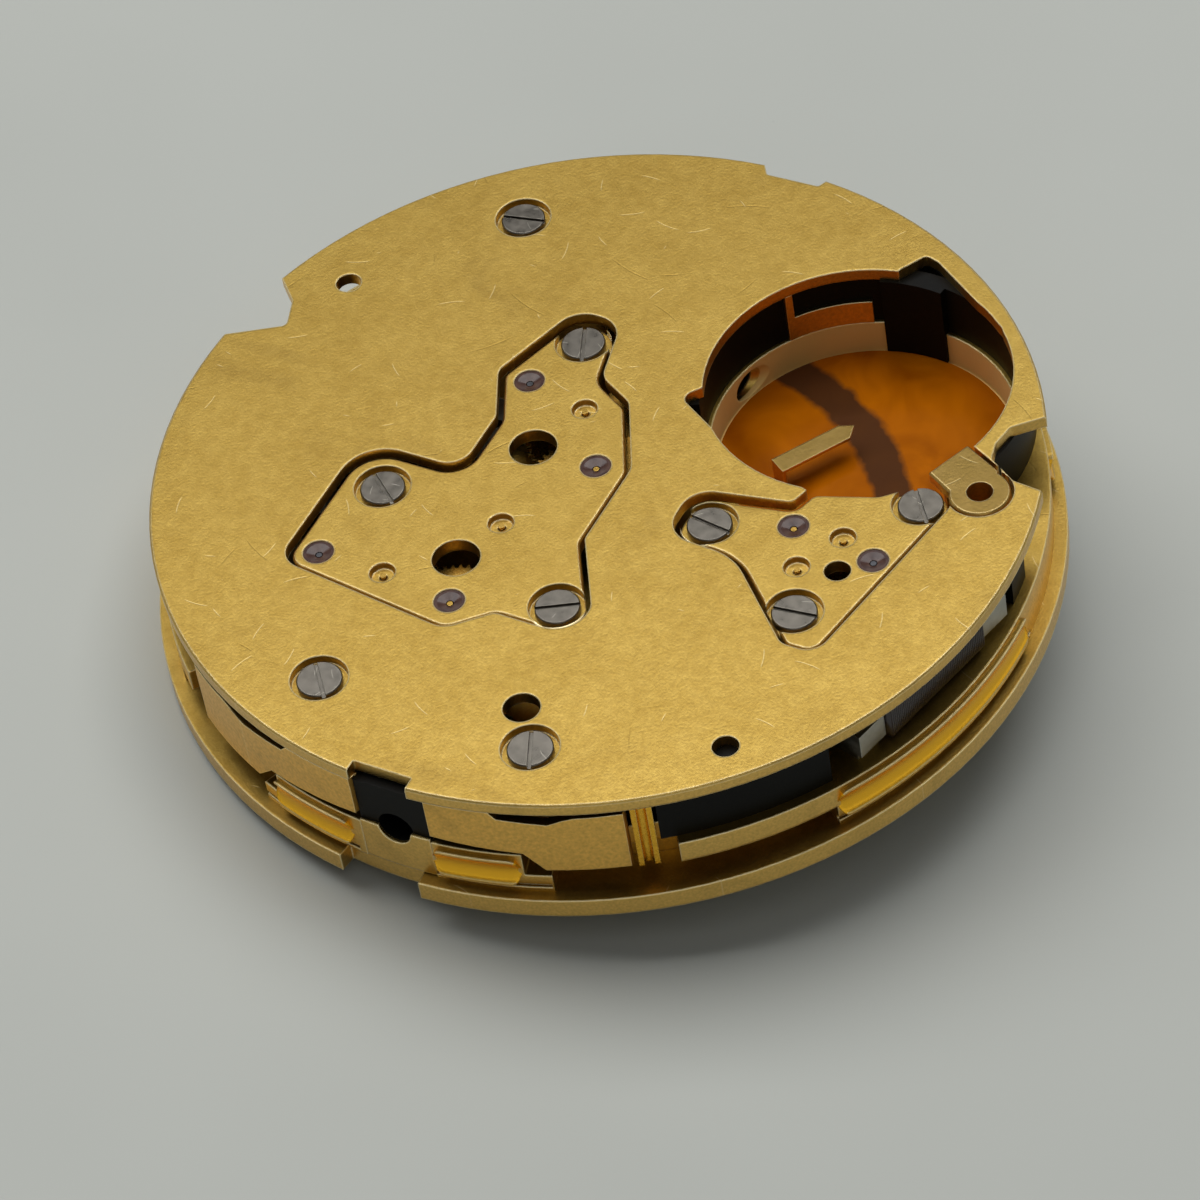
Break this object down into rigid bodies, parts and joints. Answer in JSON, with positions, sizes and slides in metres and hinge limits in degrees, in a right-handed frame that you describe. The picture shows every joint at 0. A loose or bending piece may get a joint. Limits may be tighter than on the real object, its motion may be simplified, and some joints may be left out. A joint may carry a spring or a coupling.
{
  "type": "quartz watch movement",
  "caption": "Gold-plated round quartz chronograph movement with jewelled train bridges, open battery well and hand posts",
  "frame": {"origin": "centre hand axis at the plane of the dial seat", "axes": "+Z towards the back plate, +X towards the winding stem, +Y towards the small seconds at 6 o'clock"},
  "size_m": [0.03, 0.03, 0.0068],
  "materials": {
    "gold_plate": "fine matte gold plating",
    "gold_bright": "satin gold plating",
    "bare_brass": "cut brass",
    "nickel_steel": "satin nickel",
    "spring_steel": "polished",
    "soft_iron": "satin",
    "magnet": "dull",
    "ruby": "polished ruby",
    "copper_winding": "enamelled wire",
    "amber_film": "translucent film",
    "black_plastic": "moulded",
    "circuit_laminate": "laminate",
    "white_print": "white lacquer"
  },
  "bodies": {
    "frame": {"dial_plate": "gold_plate", "main_plate": "gold_plate", "back_plate": "gold_plate", "large_train_bridge": "gold_plate", "small_train_bridge": "gold_plate", "counter_bridge": "gold_plate", "bridge_screws": "nickel_steel", "back_plate_screws": "nickel_steel", "counter_bridge_screws": "nickel_steel", "coil_screws": "nickel_steel", "date_cover_screws": "nickel_steel", "large_bridge_jewels": "ruby", "small_bridge_jewels": "ruby", "centre_tube": "bare_brass", "idler_stud": "spring_steel", "yoke_stud": "spring_steel", "battery_insulator": "amber_film", "battery_well_liner": "black_plastic", "battery_contact_band": "gold_bright", "negative_contact_strip": "gold_bright", "positive_clamp": "gold_bright", "stem_block": "black_plastic", "stem_bed": "gold_plate", "circuit_spacer": "black_plastic", "circuit_board": "circuit_laminate", "circuit_chip": "black_plastic", "quartz_can": "nickel_steel", "rim_post": "gold_bright", "date_cover": "nickel_steel", "stators": "soft_iron", "coil_cores": "soft_iron", "motor_windings": "copper_winding"},
    "small_seconds_wheel": {"small_seconds_wheel": "bare_brass"},
    "seconds_intermediate_wheel": {"seconds_intermediate_wheel": "bare_brass"},
    "time_rotor": {"time_rotor": "magnet"},
    "third_wheel": {"third_wheel": "bare_brass"},
    "minute_transfer_wheel": {"minute_transfer_wheel": "bare_brass"},
    "minute_idler": {"minute_idler": "bare_brass"},
    "centre_wheel": {"centre_wheel": "bare_brass"},
    "minute_wheel": {"minute_wheel": "bare_brass"},
    "hour_wheel": {"hour_wheel": "bare_brass"},
    "setting_wheel": {"setting_wheel": "bare_brass"},
    "date_drive_wheel": {"date_drive_wheel": "bare_brass"},
    "chrono_seconds_wheel": {"chrono_seconds_wheel": "bare_brass"},
    "chrono_intermediate_wheel": {"chrono_intermediate_wheel": "bare_brass"},
    "chrono_rotor": {"chrono_rotor": "magnet"},
    "right_counter_wheel": {"right_counter_wheel": "bare_brass"},
    "right_counter_intermediate_wheel": {"right_counter_intermediate_wheel": "bare_brass"},
    "right_counter_rotor": {"right_counter_rotor": "magnet"},
    "left_counter_wheel": {"left_counter_wheel": "bare_brass"},
    "left_counter_intermediate_wheel": {"left_counter_intermediate_wheel": "bare_brass"},
    "left_counter_rotor": {"left_counter_rotor": "magnet"},
    "date_ring": {"date_ring": "white_print"},
    "sliding_pinion": {"sliding_pinion": "spring_steel"},
    "yoke": {"yoke": "spring_steel"},
    "setting_lever": {"setting_lever": "spring_steel"},
    "pusher_spring_2h": {"pusher_spring_2h": "gold_bright"},
    "pusher_spring_4h": {"pusher_spring_4h": "gold_bright"},
    "date_jumper": {"date_jumper": "spring_steel"}
  },
  "joints": [
    {"name": "small_seconds_turn", "type": "hinge", "parent": "frame", "child": "small_seconds_wheel", "pos_m": [0.0002, 0.0072, 0], "axis": [0, 0, 1], "continuous": true},
    {"name": "seconds_intermediate_turn", "type": "hinge", "parent": "frame", "child": "seconds_intermediate_wheel", "pos_m": [0.0001, 0.0089, 0], "axis": [0, 0, 1], "continuous": true},
    {"name": "time_rotor_turn", "type": "hinge", "parent": "frame", "child": "time_rotor", "pos_m": [0.00067, 0.01022, 0], "axis": [0, 0, 1], "continuous": true},
    {"name": "third_wheel_turn", "type": "hinge", "parent": "frame", "child": "third_wheel", "pos_m": [0.00175, 0.00805, 0], "axis": [0, 0, 1], "continuous": true},
    {"name": "minute_transfer_turn", "type": "hinge", "parent": "frame", "child": "minute_transfer_wheel", "pos_m": [0.0027, 0.00335, 0], "axis": [0, 0, 1], "continuous": true},
    {"name": "minute_idler_turn", "type": "hinge", "parent": "frame", "child": "minute_idler", "pos_m": [0.00193, 0.00239, 0], "axis": [0, 0, 1], "continuous": true},
    {"name": "centre_wheel_turn", "type": "hinge", "parent": "frame", "child": "centre_wheel", "pos_m": [0, 0, 0], "axis": [0, 0, 1], "continuous": true},
    {"name": "minute_wheel_turn", "type": "hinge", "parent": "frame", "child": "minute_wheel", "pos_m": [0.00333, -0.00175, 0], "axis": [0, 0, 1], "continuous": true},
    {"name": "hour_wheel_turn", "type": "hinge", "parent": "frame", "child": "hour_wheel", "pos_m": [0, 0, 0], "axis": [0, 0, 1], "continuous": true},
    {"name": "setting_wheel_turn", "type": "hinge", "parent": "frame", "child": "setting_wheel", "pos_m": [0.00729, 0.0007, 0], "axis": [0, 0, 1], "continuous": true},
    {"name": "date_drive_turn", "type": "hinge", "parent": "frame", "child": "date_drive_wheel", "pos_m": [0, -0.00612, 0], "axis": [0, 0, 1], "continuous": true},
    {"name": "chrono_seconds_turn", "type": "hinge", "parent": "frame", "child": "chrono_seconds_wheel", "pos_m": [0, 0, 0], "axis": [0, 0, 1], "continuous": true},
    {"name": "chrono_intermediate_turn", "type": "hinge", "parent": "frame", "child": "chrono_intermediate_wheel", "pos_m": [-0.0022, -0.00153, 0], "axis": [0, 0, 1], "continuous": true},
    {"name": "chrono_rotor_turn", "type": "hinge", "parent": "frame", "child": "chrono_rotor", "pos_m": [-0.00273, -0.00385, 0], "axis": [0, 0, 1], "continuous": true},
    {"name": "right_counter_turn", "type": "hinge", "parent": "frame", "child": "right_counter_wheel", "pos_m": [0.00693, -0.00173, 0], "axis": [0, 0, 1], "continuous": true},
    {"name": "right_counter_intermediate_turn", "type": "hinge", "parent": "frame", "child": "right_counter_intermediate_wheel", "pos_m": [0.0066, -0.00435, 0], "axis": [0, 0, 1], "continuous": true},
    {"name": "right_counter_rotor_turn", "type": "hinge", "parent": "frame", "child": "right_counter_rotor", "pos_m": [0.00653, -0.00675, 0], "axis": [0, 0, 1], "continuous": true},
    {"name": "left_counter_turn", "type": "hinge", "parent": "frame", "child": "left_counter_wheel", "pos_m": [-0.00693, -0.00173, 0], "axis": [0, 0, 1], "continuous": true},
    {"name": "left_counter_intermediate_turn", "type": "hinge", "parent": "frame", "child": "left_counter_intermediate_wheel", "pos_m": [-0.00852, -0.00201, 0], "axis": [0, 0, 1], "continuous": true},
    {"name": "left_counter_rotor_turn", "type": "hinge", "parent": "frame", "child": "left_counter_rotor", "pos_m": [-0.00999, -0.00254, 0], "axis": [0, 0, 1], "continuous": true},
    {"name": "date_ring_turn", "type": "hinge", "parent": "frame", "child": "date_ring", "pos_m": [0, 0, 0], "axis": [0, 0, 1], "continuous": true},
    {"name": "sliding_pinion_slide", "type": "slide", "parent": "frame", "child": "sliding_pinion", "axis": [1, 0, 0], "range_m": [0, 0.0003]},
    {"name": "yoke_swing", "type": "hinge", "parent": "frame", "child": "yoke", "pos_m": [0.0093, -0.003, 0], "axis": [0, 0, 1], "range_deg": [-9, 0.1]},
    {"name": "setting_lever_swing", "type": "hinge", "parent": "frame", "child": "setting_lever", "pos_m": [0.0103, 0.00266, 0], "axis": [0, 0, 1], "range_deg": [-4, 0]},
    {"name": "pusher_spring_2h_bend", "type": "hinge", "parent": "frame", "child": "pusher_spring_2h", "pos_m": [0.01437, -0.00131, 0], "axis": [0, 0, 1], "range_deg": [-3, 0], "stiffness_Nm_per_rad": 0.0001},
    {"name": "pusher_spring_4h_bend", "type": "hinge", "parent": "frame", "child": "pusher_spring_4h", "pos_m": [0.01437, 0.00131, 0], "axis": [0, 0, 1], "range_deg": [0, 3], "stiffness_Nm_per_rad": 0.0001},
    {"name": "date_jumper_swing", "type": "hinge", "parent": "frame", "child": "date_jumper", "pos_m": [-0.00915, -0.0048, 0], "axis": [0, 0, 1], "range_deg": [-3, 0], "stiffness_Nm_per_rad": 0.00001}
  ],
  "couplings": [
    {"joint": "seconds_intermediate_turn", "follows": "small_seconds_turn", "ratio": -6},
    {"joint": "time_rotor_turn", "follows": "small_seconds_turn", "ratio": 30},
    {"joint": "third_wheel_turn", "follows": "small_seconds_turn", "ratio": -0.2},
    {"joint": "minute_transfer_turn", "follows": "small_seconds_turn", "ratio": 0.066667},
    {"joint": "minute_idler_turn", "follows": "small_seconds_turn", "ratio": -0.066667},
    {"joint": "centre_wheel_turn", "follows": "small_seconds_turn", "ratio": 0.016667},
    {"joint": "minute_wheel_turn", "follows": "small_seconds_turn", "ratio": -0.0055556},
    {"joint": "hour_wheel_turn", "follows": "small_seconds_turn", "ratio": 0.0013889},
    {"joint": "setting_wheel_turn", "follows": "small_seconds_turn", "ratio": 0.008547},
    {"joint": "date_drive_turn", "follows": "small_seconds_turn", "ratio": -0.00069444},
    {"joint": "chrono_intermediate_turn", "follows": "chrono_seconds_turn", "ratio": -7},
    {"joint": "chrono_rotor_turn", "follows": "chrono_seconds_turn", "ratio": 42},
    {"joint": "right_counter_intermediate_turn", "follows": "right_counter_turn", "ratio": -7},
    {"joint": "right_counter_rotor_turn", "follows": "right_counter_turn", "ratio": 42},
    {"joint": "left_counter_intermediate_turn", "follows": "left_counter_turn", "ratio": -6},
    {"joint": "left_counter_rotor_turn", "follows": "left_counter_turn", "ratio": 30},
    {"joint": "yoke_swing", "follows": "sliding_pinion_slide", "rad_per_m": -448.43}
  ]
}
